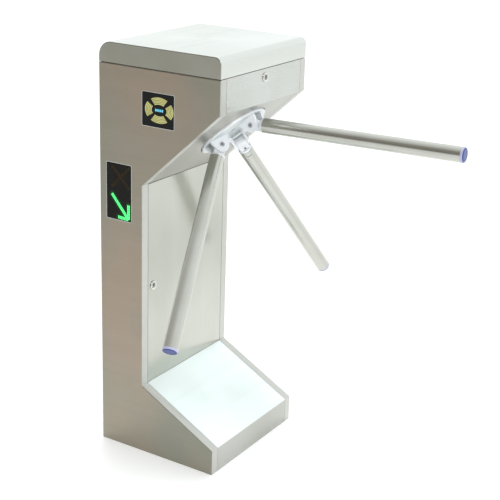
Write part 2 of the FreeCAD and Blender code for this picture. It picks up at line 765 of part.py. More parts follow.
def lever_posts():
    """The stepped pivot posts of the three levers, standing on the mechanism plate."""
    post = rod(post_radius, (-lever_reach, lift_radius, wheel_rear - 3), (-lever_reach, lift_radius, plate_rear))
    step = rod(post_radius + 4, (-lever_reach, lift_radius, wheel_front + 0.3),
               (-lever_reach, lift_radius, plate_rear))
    one = join([post, step])
    return [one, turned(one, 120), exit_side(turned(one, 120))]


def exit_side(shape):
    """The entry pawl's piece, mirrored for the exit pawl."""
    return flipped(shape, V(1, 0, 0))


def plunger():
    """A solenoid's plunger, pushing on a pawl's tail."""
    at = tail_point()
    return rod(plunger_radius, (at.x, at.y + 0.4, at.z), (at.x, at.y + 40, at.z))


def solenoid():
    """A solenoid on its foot on the mechanism plate."""
    at = tail_point()
    y0 = at.y + 16
    case = ring(solenoid_radius, plunger_radius + run_fit, (at.x, y0, at.z), (at.x, y0 + solenoid_length, at.z))
    foot = box(at.x - 12, at.x + 12, y0, y0 + 4, at.z, plate_rear)
    foot = foot.cut(rod(plunger_radius + run_fit, (at.x, y0 - 1, at.z), (at.x, y0 + 6, at.z)))
    pad = box(at.x - 12, at.x + 12, y0, y0 + solenoid_length, plate_rear - 3, plate_rear)
    return join([case, foot, pad])


def mechanism_posts():
    """The spacers that carry the rear plate."""
    return [rod(6, (x, y, rear_front), (x, y, plate_rear)) for x, y in post_places]


def rear_plate():
    """The plate behind the wheel that carries the damper and the sensors."""
    body = plate([(-92, -90), (88, -90), (88, 82), (-92, 82)], rear_rear, rear_front)
    return body.cut(rod(shaft_radius + 3, (0, 0, rear_rear - 1), (0, 0, rear_front + 1)))


def sensor_disc():
    """The slotted disc that the sensors read, clamped on the shaft."""
    body = rod(44, (0, 0, sensor_front - 2), (0, 0, sensor_front))
    for i in range(arms):
        angle = math.radians(rest_turn + 360.0 / arms * i)
        slot = box(34, 46, -4, 4, sensor_front - 3, sensor_front + 1)
        body = body.cut(turned(slot, math.degrees(angle)))
    return body.cut(rod(shaft_radius, (0, 0, sensor_front - 4), (0, 0, sensor_front + 1)))


def position_sensors():
    """Two fork sensors on the rear plate, astride the disc's rim."""
    forks = []
    for angle in (35, 55):
        fork = box(36, 56, -5, 5, rear_front, sensor_front + 4)
        fork = fork.cut(box(35, 47, -6, 6, sensor_front - 4, sensor_front + 2))
        forks.append(turned(fork, angle))
    return group(forks)


def damper_body():
    """The rotary damper on the rear plate."""
    body = rod(damper_radius, (0, 0, damper_rear), (0, 0, rear_rear))
    lip = rod(damper_radius + 8, (0, 0, rear_rear - 5), (0, 0, rear_rear))
    return join([body, lip]).cut(rod(shaft_radius + run_fit, (0, 0, damper_rear - 1), (0, 0, rear_rear + 1)))


def shaft_nut():
    """The ring nut on the shaft's inner end."""
    z0, z1 = shaft_end + 2, damper_rear - 1
    return ring(shaft_radius + 8, shaft_radius, (0, 0, z0), (0, 0, z1))


# ---- electronics in the column ----
def control_board():
    """The control circuit board on standoffs on the back panel, with its larger parts."""
    x = back_x + 2 * sheet
    board_x = x + 10
    pieces = [box(board_x, board_x + 1.6, -75, 75, 380, 560)]
    for y in (-68, 68):
        for z in (387, 553):
            pieces.append(rod(3, (x - sheet, y, z), (board_x, y, z)))
    for y, z, w, h, rise in ((-40, 520, 26, 14, 9), (5, 520, 22, 14, 9), (45, 515, 14, 22, 14),
                             (-45, 460, 18, 18, 3), (0, 450, 30, 30, 4), (48, 440, 12, 30, 11),
                             (-20, 400, 46, 7, 10), (45, 400, 20, 7, 10)):
        pieces.append(box(board_x + 1.6, board_x + 1.6 + rise, y - w, y + w, z - h / 2, z + h / 2))
    return join(pieces)


def power_supply():
    """The boxed mains supply on the back panel, with a slotted cover."""
    x = back_x + sheet
    body = box(x, x + 42, -60, 60, 210, 330)
    for i in range(9):
        y = -48 + i * 12
        body = body.cut(box(x + 38, x + 43, y - 2, y + 2, 225, 315))
    feet = [box(x, x + 1.5, -60, 60, 200, 210), box(x, x + 1.5, -60, 60, 330, 340)]
    return join([body] + feet)


# ---- the assembly ----
def build_shell():
    near = side_plate()
    save("side_plate_reader", near)
    save("side_plate_far", flipped(near))
    save("fascia_panel", fascia_panel())
    save("chamfer_panel", chamfer_panel())
    save("slope_cover", panel(2))
    save("toe_panel", panel(1))
    save("back_panel", back_panel())
    save("base_plate", base_plate())
    save("rim_gasket", rim_gasket())
    save("reader_windows", windows(reader_w, reader_h, reader_x, reader_z))
    save("reader_boards", window_boards(reader_w, reader_h, reader_x, reader_z, 12))
    save("sign_windows", windows(sign_w, sign_h, sign_x, sign_z))
    save("sign_boards", window_boards(sign_w, sign_h, sign_x, sign_z, 9))
    save("control_board", control_board())
    save("power_supply", power_supply())


def build_lid_and_door():
    save("lid_shell", lid_shell())
    save("lid_catch", lid_catch())
    for name, moving in (("lid_hinge_fixed_leaves", False), ("lid_hinge_moving_leaves", True)):
        save(name, group([hinge_leaf(-hinge_y, moving), hinge_leaf(hinge_y, moving)]))
    save("lid_hinge_pins", group([hinge_pin(-hinge_y), hinge_pin(hinge_y)]))
    save("lid_lock_barrel", lock_barrel(front_x, 0, lid_lock_z, lid_lock_length))
    save("lid_lock_plug", lock_plug(front_x, 0, lid_lock_z, lid_lock_length, lid_cam_length, 1))
    save("front_door", front_door())
    save("door_hinge_brackets", door_hinge_brackets())
    save("door_lock_barrel", lock_barrel(recess_x, door_lock_y, door_lock_z, door_lock_length))
    save("door_lock_plug", lock_plug(recess_x, door_lock_y, door_lock_z, door_lock_length,
                                     door_cam_length, -1))


def build_hub():
    for name, shape in (("hub_disc", hub_disc()), ("hub_screws", hub_screws()), ("ear_pins", ear_pins()),
                        ("main_shaft", main_shaft()), ("index_wheel", index_wheel()),
                        ("sensor_disc", sensor_disc()), ("shaft_nut", shaft_nut())):
        save(name, in_hub_frame(shape))
    for i in range(arms):
        angle = rest_turn + 360.0 / arms * i
        for piece, shape in (("root", arm_root()), ("tube", arm_tube()), ("cap", arm_cap())):
            save("arm_%d_%s" % (i + 1, piece), in_hub_frame(turned(along_arm(shape), angle)))


def build_mechanism():
    entry_pawl = turned(lever(True), 120)
    entry_plunger = turned(plunger(), 120)
    entry_solenoid = turned(solenoid(), 120)
    for name, shape in (
            ("mechanism_plate", mechanism_plate()), ("mechanism_brackets", mechanism_brackets()),
            ("bearing_housing", bearing_housing()), ("front_bearing", bearing(housing_front)),
            ("rear_bearing", bearing(housing_rear + bearing_length)), ("index_lever", lever(False)),
            ("index_roller", index_roller()), ("index_spring", index_spring()),
            ("entry_pawl", entry_pawl),
            ("exit_pawl", exit_side(entry_pawl)), ("entry_plunger", entry_plunger),
            ("exit_plunger", exit_side(entry_plunger)),
            ("solenoids", group([entry_solenoid, exit_side(entry_solenoid)])),
            ("mechanism_posts", group(lever_posts() + mechanism_posts() + [spring_anchor()])),
            ("rear_plate", rear_plate()), ("position_sensors", position_sensors()),
            ("damper_body", damper_body())):
        save(name, in_hub_frame(shape))


def main():
    build_shell()
    build_lid_and_door()
    build_hub()
    build_mechanism()
    os.makedirs("parts", exist_ok=True)
    for name, shape in NODES.items():
        if not shape.isValid():
            raise ValueError("not a valid solid: " + name)
        shape.exportStep("parts/" + name + ".step")
    print(len(NODES), "nodes written")


main()
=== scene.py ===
"""Finishes and fine parts of a tripod turnstile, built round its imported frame.

Metres in the frame's own axes: +X to the passage, +Y the way a visitor walks, +Z up.
Parts are drawn in millimetres in a frame of their own and scaled once, when they become a piece.
"""
import json
import math

import bmesh
import bpy
from mathutils import Matrix, Vector


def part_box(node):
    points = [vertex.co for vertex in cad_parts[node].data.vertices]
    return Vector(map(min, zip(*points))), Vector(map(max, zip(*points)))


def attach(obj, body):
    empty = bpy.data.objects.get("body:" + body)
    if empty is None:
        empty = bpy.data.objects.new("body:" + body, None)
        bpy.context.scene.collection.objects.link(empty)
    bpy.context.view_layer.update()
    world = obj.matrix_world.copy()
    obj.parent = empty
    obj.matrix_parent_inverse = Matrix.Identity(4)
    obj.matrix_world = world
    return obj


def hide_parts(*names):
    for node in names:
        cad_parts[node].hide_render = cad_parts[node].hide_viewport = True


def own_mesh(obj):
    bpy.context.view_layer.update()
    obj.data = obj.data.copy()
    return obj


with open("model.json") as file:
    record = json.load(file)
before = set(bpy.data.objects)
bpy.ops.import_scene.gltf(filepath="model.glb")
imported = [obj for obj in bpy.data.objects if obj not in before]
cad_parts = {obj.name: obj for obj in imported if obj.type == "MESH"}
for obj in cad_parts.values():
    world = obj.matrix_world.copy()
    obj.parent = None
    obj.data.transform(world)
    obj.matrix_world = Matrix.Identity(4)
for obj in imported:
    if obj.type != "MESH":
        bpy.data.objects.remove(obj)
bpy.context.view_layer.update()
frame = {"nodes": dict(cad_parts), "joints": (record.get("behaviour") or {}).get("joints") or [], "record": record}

MM = 0.001
X, Y, Z = Vector((1, 0, 0)), Vector((0, 1, 0)), Vector((0, 0, 1))
SHARP = math.radians(32)           # edges sharper than this stay crisp

JOINTS = {joint["name"]: joint for joint in frame["joints"]}

# ---- sizes of the fine parts, millimetres ----
WINDOW_FLANGE = 6.0                # the windows' hidden edge behind the sheet
WINDOW_CORNER = 3.0
BEZEL = 1.5                        # bright cut edge of the sheet round a window
READER_MARK = (38.8, 29.1)         # half width and half height of the printed ring
READER_CORE = (20.0, 12.6)         # the dark middle of the ring
READER_SPAN = 35.0                 # half of the angle that one printed segment covers
READER_BANDS = 5
READER_SHIFT = (3.0, 0.4, 0.0)     # the print sits a little towards the passage
INK = 0.12                         # how far print stands off the acrylic
LED_PITCH = 4.0
LED_RADIUS = 1.85
ARM_CONE = 48.0                    # arms from the shaft's axis, degrees
PIVOT_HEAD = 5.9
PIVOT_RISE = 1.6
PIN_RADIUS = 4.9
ROOT_HALF = 13.0                   # root block, half its depth and the radius of its round end
ROOT_WIDE = 12.6                   # and half its width between the ears
ROOT_COLLAR = 6.0
ROOT_PLUG = 40.0
CAP_COLLAR = 4.2                   # pale collar of an end cap
TUBE_RADIUS = 17.0
SLOT_FROM_END = 13.0               # release slot from the tube's inner end
SLOT_HALF_ANGLE = 27.0
SPRING_RADIUS = 5.0                # the index spring's coil, to the middle of its wire
SPRING_WIRE = 0.9
SPRING_TURNS = 11

# ---- camera ----
CAMERA_AT = Vector((1.5019, -2.2047, 1.4211))
CAMERA_AZIMUTH = 31.75
CAMERA_ELEVATION = 19.48
CAMERA_ROLL = 1.89
CAMERA_LENS = 85.03

# ---- the studio, in metres ----
# painted light: the floor glows round the object, clearing its shadows: full to here, gone by here, and how much
TABLE_GLOW = (0.5, 1.2, 0.22)
# painted light: the floor beyond it glows brighter: starts here, full here, and how much
FLOOR_GLOW = (0.8, 4.0, 0.3)


def camera():
    """The camera, three quarters from the reader side and a little above the lid."""
    azimuth, elevation = math.radians(CAMERA_AZIMUTH), math.radians(CAMERA_ELEVATION)
    roll = math.radians(CAMERA_ROLL)
    forward = Vector((-math.sin(azimuth) * math.cos(elevation),
                      math.cos(azimuth) * math.cos(elevation), -math.sin(elevation)))
    level = forward.cross(Z).normalized()
    upright = level.cross(forward)
    right = level * math.cos(roll) + upright * math.sin(roll)
    up = upright * math.cos(roll) - level * math.sin(roll)
    data = bpy.data.cameras.new("camera")
    data.lens = CAMERA_LENS
    eye = bpy.data.objects.new("camera", data)
    bpy.context.scene.collection.objects.link(eye)
    eye.matrix_world = placed(CAMERA_AT, right, up)
    bpy.context.scene.camera = eye


def placed(origin, x, y):
    """A frame from its origin and two of its axes."""
    z = x.cross(y)
    matrix = Matrix((x, y, z)).transposed().to_4x4()
    matrix.translation = origin
    return matrix


# ---- colour and nodes ----
def linear(colour):
    """An sRGB hex colour as linear red, green, blue and one."""
    parts = [int(colour[i:i + 2], 16) / 255 for i in (1, 3, 5)]
    return tuple(c / 12.92 if c <= 0.04045 else ((c + 0.055) / 1.055) ** 2.4 for c in parts) + (1,)


def add(tree, kind, settings=None, links=None):
    """A node of one kind, with its settings by attribute or socket, and its sockets' links."""
    node = tree.nodes.new("ShaderNode" + kind)
    for key, value in (settings or {}).items():
        if isinstance(key, str) and hasattr(node, key):
            setattr(node, key, value)
        else:
            node.inputs[key].default_value = value
    for key, source in (links or {}).items():
        tree.links.new(source, node.inputs[key])
    return node


def finish_of(name):
    """A new material with an empty tree and its output."""
    made = bpy.data.materials.new(name)
    made.use_nodes = True
    tree = made.node_tree
    tree.nodes.clear()
    return made, tree, add(tree, "OutputMaterial")


def ramp(tree, source, stops):
    """A colour ramp from (place, linear colour) stops."""
    node = add(tree, "ValToRGB", {}, {"Fac": source})
    bands = node.color_ramp.elements
    while len(bands) < len(stops):
        bands.new(0.5)
    for band, (place, colour) in zip(bands, stops):
        band.position = place
        band.color = colour
    return node.outputs["Color"]


def grained(tree, size, detail=3.0, roughness=0.55, turn=(0, 0, 0)):
    """Noise whose grains are size millimetres long in x, y and z."""
    where = add(tree, "TexCoord")
    scaled = add(tree, "Mapping", {"Scale": [1 / (s * MM) for s in size], "Rotation": turn},
                 {"Vector": where.outputs["Object"]})
    noise = add(tree, "TexNoise", {"Scale": 1.0, "Detail": detail, "Roughness": roughness},
                {"Vector": scaled.outputs["Vector"]})
    return noise.outputs["Fac"]


def between(tree, source, low, high, bottom, top):
    """A value carried from the range low..high to bottom..top."""
    node = add(tree, "MapRange", {"From Min": low, "From Max": high, "To Min": bottom, "To Max": top},
               {"Value": source})
    return node.outputs["Result"]


def bumped(tree, height, depth, strength=1.0):
    """A normal from a height field whose full range is depth millimetres."""
    node = add(tree, "Bump", {"Distance": depth * MM, "Strength": strength}, {"Height": height})
    return node.outputs["Normal"]


def mixed(tree, first, second, share, blend="MIX"):
    """Two colours mixed by a share, which is a number or a link."""
    settings, links = {"data_type": "RGBA", "blend_type": blend}, {6: first, 7: second}
    if isinstance(share, float):
        settings[0] = share
    else:
        links[0] = share
    return add(tree, "Mix", settings, links).outputs[2]


# ---- finishes ----
def hairline_stainless(name, pale, deep, grain, rough, smear=0.0, painted_light_by_facing=None, cast=("#ecebe8", "#ffffff")):
    """Stainless sheet with a hairline brush: fine parallel scratches that blur reflections across them,
    a slow drift of tone and faint hand marks. The true lines are 0.1 mm apart, too fine to show, so they
    are drawn about 2 mm apart. An optional facing tone is an axis and a paler tone: faces turned away from
    the axis are painted paler, painted light, and faces along it keep the deeper tone, painted shade."""
    made, tree, out = finish_of(name)
    lines = grained(tree, [320.0 if axis == grain else 1.8 for axis in "xyz"], 4.0, 0.6)
    broad = grained(tree, [700.0 if axis == grain else 30.0 for axis in "xyz"], 2.0)
    drift = grained(tree, (260, 260, 340), 2.0)
    hands = grained(tree, (60, 60, 75), 3.0, 0.5)
    slow = ramp(tree, drift, [(0.36, linear(cast[0])), (0.64, linear(cast[1]))])
    streaks = ramp(tree, lines, [(0.25, linear(deep)), (0.75, linear(pale))])
    tone = mixed(tree, streaks, slow, 0.8, "MULTIPLY")
    # painted light and shade: faces turned from the axis take the paler tone, faces along it the deeper one
    if painted_light_by_facing:
        normal = add(tree, "TexCoord").outputs["Normal"]
        facing = add(tree, "SeparateXYZ", {}, {0: normal}).outputs[painted_light_by_facing[0]]
        painted_light_share = between(tree, add(tree, "Math", {"operation": "ABSOLUTE"}, {0: facing}).outputs[0],
                              0.4, 0.8, 1.0, 0.0)
        edge = ramp(tree, lines, [(0.25, linear(painted_light_by_facing[1])), (0.75, linear(painted_light_by_facing[2]))])
        tone = mixed(tree, tone, edge, painted_light_share)
    wide = ramp(tree, broad, [(0.3, linear("#f7f6f5")), (0.7, linear("#ffffff"))])
    colour = mixed(tree, tone, wide, 0.5, "MULTIPLY")
    smudge = between(tree, hands, 0.45, 0.8, 0.0, 0.025)
    brushed = between(tree, lines, 0.25, 0.75, rough - 0.03, rough + 0.03)
    roughness = add(tree, "Math", {"operation": "ADD"}, {0: brushed, 1: smudge}).outputs[0]
    shader = add(tree, "BsdfPrincipled",
                 {"Metallic": 1.0, "Anisotropic": smear, "Anisotropic Rotation": 0.25},
                 {"Base Color": colour, "Roughness": roughness, "Normal": bumped(tree, lines, 0.02, 0.35)})
    tree.links.new(shader.outputs[0], out.inputs[0])
    return made


def metal(name, pale, deep, rough, size, depth, share=1.0):
    """A solid metal part: two close tones in grains of size millimetres, and a bump of depth."""
    made, tree, out = finish_of(name)
    grains = grained(tree, size, 4.0, 0.6)
    patches = grained(tree, (22, 22, 22), 3.0)
    tone = ramp(tree, grains, [(0.3, linear(deep)), (0.7, linear(pale))])
    worn = ramp(tree, patches, [(0.35, linear("#e9e9e9")), (0.65, linear("#ffffff"))])
    shader = add(tree, "BsdfPrincipled", {"Metallic": share},
                 {"Base Color": mixed(tree, tone, worn, 0.6, "MULTIPLY"),
                  "Roughness": between(tree, patches, 0.3, 0.7, rough - 0.03, rough + 0.05),
                  "Normal": bumped(tree, grains, depth)})
    tree.links.new(shader.outputs[0], out.inputs[0])
    return made


def faced_casting(name, pale, deep, face, along, rough):
    """An enamelled casting whose flat front was turned bare: pale sides with the pits of a sand mould
    2 mm apart, and a greyer, smoother face where the surface looks along the shaft."""
    made, tree, out = finish_of(name)
    pits = grained(tree, (2.2, 2.2, 2.2), 4.0, 0.6)
    ahead = add(tree, "VectorMath", {"operation": "DOT_PRODUCT", 1: along},
                {0: add(tree, "TexCoord").outputs["Normal"]}).outputs["Value"]
    bare = between(tree, ahead, 0.9, 0.98, 0.0, 1.0)
    skin = ramp(tree, pits, [(0.3, linear(deep)), (0.7, linear(pale))])
    shader = add(tree, "BsdfPrincipled", {},
                 {"Base Color": mixed(tree, skin, ramp(tree, pits, [(0.3, linear(face[1])), (0.7, linear(face[0]))]), bare),
                  "Metallic": between(tree, bare, 0.0, 1.0, 0.25, 0.8),
                  "Roughness": between(tree, pits, 0.3, 0.7, rough - 0.04, rough + 0.04),
                  "Normal": bumped(tree, pits, 0.015)})
    tree.links.new(shader.outputs[0], out.inputs[0])
    return made


def satin_tube(name, pale, deep, rough):
    """Stainless tube polished while it turns: fine rings that only soften its reflections, with a slow
    drift of tone along it and a few dull patches where hands push it."""
    made, tree, out = finish_of(name)
    grit = grained(tree, (1.4, 1.4, 1.4), 2.0)
    drift = grained(tree, (90, 90, 90), 1.0)
    tone = ramp(tree, grit, [(0.2, linear(deep)), (0.8, linear(pale))])
    slow = ramp(tree, drift, [(0.3, linear("#efefec")), (0.7, linear("#ffffff"))])
    shader = add(tree, "BsdfPrincipled", {"Metallic": 1.0},
                 {"Base Color": mixed(tree, tone, slow, 0.6, "MULTIPLY"),
                  "Roughness": between(tree, drift, 0.3, 0.7, rough - 0.02, rough + 0.03)})
    tree.links.new(shader.outputs[0], out.inputs[0])
    return made


def moulded(name, pale, deep, rough, ior=1.49, grain=0.6, depth=0.02, coat=0.0, shine=0.5):
    """A moulded plastic or rubber: a fine mould texture, slow tone change and a little dust."""
    made, tree, out = finish_of(name)
    texture = grained(tree, (grain, grain, grain), 3.0)
    slow = grained(tree, (30, 30, 30), 3.0)
    shader = add(tree, "BsdfPrincipled", {"IOR": ior, "Specular IOR Level": shine, "Coat Weight": coat,
                                          "Coat Roughness": 0.06},
                 {"Base Color": ramp(tree, slow, [(0.3, linear(deep)), (0.7, linear(pale))]),
                  "Roughness": between(tree, slow, 0.3, 0.7, rough - 0.04, rough + 0.06),
                  "Normal": bumped(tree, texture, depth)})
    tree.links.new(shader.outputs[0], out.inputs[0])
    return made


def lit(name, core, edge, strength):
    """A light-emitting lens: hot in its middle, deeper in colour at its rim, under a clear gloss."""
    made, tree, out = finish_of(name)
    facing = add(tree, "LayerWeight", {"Blend": 0.35}).outputs["Facing"]
    flicker = grained(tree, (9, 9, 9), 2.0)
    colour = ramp(tree, facing, [(0.0, linear(core)), (0.8, linear(edge))])
    power = between(tree, flicker, 0.3, 0.7, strength * 0.85, strength * 1.15)
    shader = add(tree, "BsdfPrincipled", {"Roughness": 0.25, "IOR": 1.5},
                 {"Base Color": colour, "Emission Color": colour, "Emission Strength": power})
    tree.links.new(shader.outputs[0], out.inputs[0])
    return made


def circuit_board(name, node, axis, side, board):
    """A circuit board: green solder mask with paler copper tracks under it, and dark moulded parts that
    stand more than board millimetres off its face. A track is drawn 1.2 mm wide."""
    made, tree, out = finish_of(name)
    low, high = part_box(node)
    where = add(tree, "TexCoord").outputs["Object"]
    place = add(tree, "SeparateXYZ", {}, {0: where}).outputs[axis]
    if side == 0:
        place = add(tree, "Math", {"operation": "ABSOLUTE"}, {0: place}).outputs[0]
    edge = board(low, high)
    raised = add(tree, "Math", {"operation": "GREATER_THAN" if side > 0 else "LESS_THAN", 1: edge},
                 {0: place}).outputs[0]
    scaled = add(tree, "Mapping", {"Scale": [1 / (9 * MM)] * 3}, {"Vector": where}).outputs[0]
    tracks = add(tree, "TexBrick", {"offset": 0.37, "squash": 0.6, "Scale": 1.0, "Mortar Size": 0.05,
                                    "Color1": linear("#0f5a2c"), "Color2": linear("#0c4f28"),
                                    "Mortar": linear("#3f8a4c")}, {"Vector": scaled}).outputs["Color"]
    parts = ramp(tree, grained(tree, (26, 26, 26), 0.0),
                 [(0.44, linear("#17181a")), (0.5, linear("#2a2c30")), (0.56, linear("#8f979e"))])
    shader = add(tree, "BsdfPrincipled", {"IOR": 1.5},
                 {"Base Color": mixed(tree, tracks, parts, raised),
                  "Roughness": between(tree, grained(tree, (3, 3, 3)), 0.3, 0.7, 0.32, 0.48)})
    tree.links.new(shader.outputs[0], out.inputs[0])
    return made


def glow_behind(tree, where, strokes, reach):
    """How strongly light from straight strokes shows through a smoked sheet, by distance in x and z."""
    spread = None
    flat = add(tree, "VectorMath", {"operation": "MULTIPLY", 1: (1, 0, 1)}, {0: where}).outputs[0]
    for start, end in strokes:
        a, b = Vector((start[0], 0, start[1])) * MM, Vector((end[0], 0, end[1])) * MM
        along = b - a
        offset = add(tree, "VectorMath", {"operation": "SUBTRACT", 1: a}, {0: flat}).outputs[0]
        share = add(tree, "VectorMath", {"operation": "DOT_PRODUCT", 1: along / along.length_squared},
                    {0: offset}).outputs["Value"]
        held = add(tree, "Clamp", {}, {"Value": share}).outputs[0]
        nearest = add(tree, "VectorMath", {"operation": "SCALE", 0: along}, {"Scale": held}).outputs[0]
        gap = add(tree, "VectorMath", {"operation": "DISTANCE"}, {0: offset, 1: nearest}).outputs["Value"]
        light = between(tree, gap, 0.0, reach * MM, 1.0, 0.0)
        spread = light if spread is None else add(tree, "Math", {"operation": "MAXIMUM"},
                                                  {0: spread, 1: light}).outputs[0]
    return add(tree, "Math", {"operation": "POWER", 1: 2.2}, {0: spread}).outputs[0]


def smoked_acrylic(name, strokes):
    """Smoked acrylic over lamps: almost black, glossy, with the lit arrow's green light spreading in it."""
    made, tree, out = finish_of(name)
    where = add(tree, "TexCoord").outputs["Object"]
    dust = grained(tree, (14, 14, 14), 4.0)
    glow = glow_behind(tree, where, strokes, 11.0)
    shader = add(tree, "BsdfPrincipled",
                 {"IOR": 1.49, "Specular IOR Level": 0.15, "Emission Color": linear("#0fae45")},
                 {"Base Color": ramp(tree, dust, [(0.3, linear("#0d0c0a")), (0.7, linear("#171510"))]),
                  "Roughness": between(tree, dust, 0.3, 0.7, 0.08, 0.16),
                  "Emission Strength": between(tree, glow, 0.0, 1.0, 0.0, 0.55)})
    tree.links.new(shader.outputs[0], out.inputs[0])
    return made


# ---- shapes, in millimetres ----
def turned(profile, steps=48, closed=False):
    """A shape turned on a lathe about z from its (radius, z) profile."""
    bm = bmesh.new()
    points = [bm.verts.new((r, 0, z)) for r, z in profile]
    pairs = list(zip(points, points[1:]))
    if closed:
        pairs.append((points[-1], points[0]))
    edges = [bm.edges.new(pair) for pair in pairs]
    bmesh.ops.spin(bm, geom=points + edges, axis=(0, 0, 1), cent=(0, 0, 0), steps=steps,
                   angle=2 * math.pi, use_merge=True)
    bmesh.ops.remove_doubles(bm, verts=bm.verts, dist=0.002)
    bmesh.ops.recalc_face_normals(bm, faces=bm.faces)
    return bm


def band(outer, inner, z0, z1, closed=True):
    """A flat strip between two outlines with as many points each."""
    bm = bmesh.new()
    rows = [[bm.verts.new((x, y, z)) for x, y in line] for line in (outer, inner) for z in (z0, z1)]
    low_out, high_out, low_in, high_in = rows
    count = len(outer)
    for i in range(count if closed else count - 1):
        j = (i + 1) % count
        bm.faces.new((high_out[i], high_out[j], high_in[j], high_in[i]))
        bm.faces.new((low_out[j], low_out[i], low_in[i], low_in[j]))
        bm.faces.new((low_out[i], low_out[j], high_out[j], high_out[i]))
        bm.faces.new((low_in[j], low_in[i], high_in[i], high_in[j]))
    if not closed:
        bm.faces.new((low_out[0], high_out[0], high_in[0], low_in[0]))
        bm.faces.new((low_out[-1], low_in[-1], high_in[-1], high_out[-1]))
    bmesh.ops.recalc_face_normals(bm, faces=bm.faces)
    return bm


def sheet_of(outline, z0, z1):
    """A flat outline drawn up from z0 to z1."""
    bm = bmesh.new()
    low = [bm.verts.new((x, y, z0)) for x, y in outline]
    high = [bm.verts.new((x, y, z1)) for x, y in outline]
    bm.faces.new(list(reversed(low)))
    bm.faces.new(high)
    for i in range(len(outline)):
        j = (i + 1) % len(outline)
        bm.faces.new((low[i], low[j], high[j], high[i]))
    bmesh.ops.recalc_face_normals(bm, faces=bm.faces)
    return bm


def rounded_rectangle(w, h, r, steps=4):
    """The outline of a rectangle with rounded corners."""
    points = []
    for quarter, (sx, sy) in enumerate(((1, 1), (-1, 1), (-1, -1), (1, -1))):
        for i in range(steps + 1):
            a = math.pi / 2 * (quarter + i / steps)
            points.append((sx * (w / 2 - r) + r * math.cos(a), sy * (h / 2 - r) + r * math.sin(a)))
    return points


def oval(rx, ry, start, end, steps):
    """Points along part of an oval, angles in degrees."""
    angles = [math.radians(start + (end - start) * i / steps) for i in range(steps + 1)]
    return [(rx * math.cos(a), ry * math.sin(a)) for a in angles]


def polygon(radius, sides):
    """A regular outline."""
    return [(radius * math.cos(2 * math.pi * i / sides), radius * math.sin(2 * math.pi * i / sides))
            for i in range(sides)]


def together(parts):
    """One mesh from parts, each with the matrix, in millimetres, that places it."""
    whole = bmesh.new()
    for bm, matrix in parts:
        bm.transform(matrix)
        spare = bpy.data.meshes.new("spare")
        bm.to_mesh(spare)
        bm.free()
        whole.from_mesh(spare)
        bpy.data.meshes.remove(spare)
    return whole


def piece(name, bm, finish, at, body, stands_for=(), bevel=0.0):
    """A shape in millimetres made into a piece at a frame, riding on a body."""
    bmesh.ops.scale(bm, vec=(MM, MM, MM), verts=bm.verts)
    for face in bm.faces:
        face.smooth = True
    for edge in bm.edges:
        edge.smooth = len(edge.link_faces) == 2 and edge.calc_face_angle() < SHARP
    mesh = bpy.data.meshes.new(name)
    bm.to_mesh(mesh)
    bm.free()
    mesh.materials.append(finish)
    made = bpy.data.objects.new(name, mesh)
    bpy.context.scene.collection.objects.link(made)
    made.matrix_world = at
    if bevel:
        soften = made.modifiers.new("edge", "BEVEL")
        soften.width = bevel * MM
        soften.segments = 3
        soften.limit_method = "ANGLE"
        soften.angle_limit = SHARP
        soften.harden_normals = True
    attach(made, body)
    if stands_for:
        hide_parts(*stands_for)
    return made


def shift(x, y, z):
    return Matrix.Translation((x, y, z))


# ---- places ----
def span(node, origin, direction):
    """How far a node reaches along a direction from a point, lowest and highest, in millimetres."""
    steps = [(v.co - origin).dot(direction) / MM for v in frame["nodes"][node].data.vertices]
    return min(steps), max(steps)


def side_faces(node):
    """Each side's window frame and pane size: x to the right of someone facing it, y up, z outwards."""
    low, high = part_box(node)
    middle = (low + high) / 2
    size = ((high.x - low.x) / MM - 2 * WINDOW_FLANGE, (high.z - low.z) / MM - 2 * WINDOW_FLANGE)
    near = placed(Vector((middle.x, low.y, middle.z)), X, Z)
    far = placed(Vector((middle.x, high.y, middle.z)), -X, Z)
    return (("near", near, 1), ("far", far, -1)), size


def hub_frame():
    """The hub's frame: x up the slope, y to the reader side, z out along the shaft."""
    turn = JOINTS["hub_turn"]
    out = Vector(turn["axis"]).normalized()
    return placed(Vector(turn["pos_m"]), (-Y).cross(out), -Y)


def arm_frame(number):
    """An arm's frame: origin at its pivot, y along the pivot pin, z along the arm."""
    drop = JOINTS["arm_%d_drop" % number]
    pin = -Vector(drop["axis"]).normalized()
    out = Vector(JOINTS["hub_turn"]["axis"]).normalized()
    radial = pin.cross(out)
    cone = math.radians(ARM_CONE)
    along = radial * math.sin(cone) + out * math.cos(cone)
    return placed(Vector(drop["pos_m"]), pin.cross(along), pin)


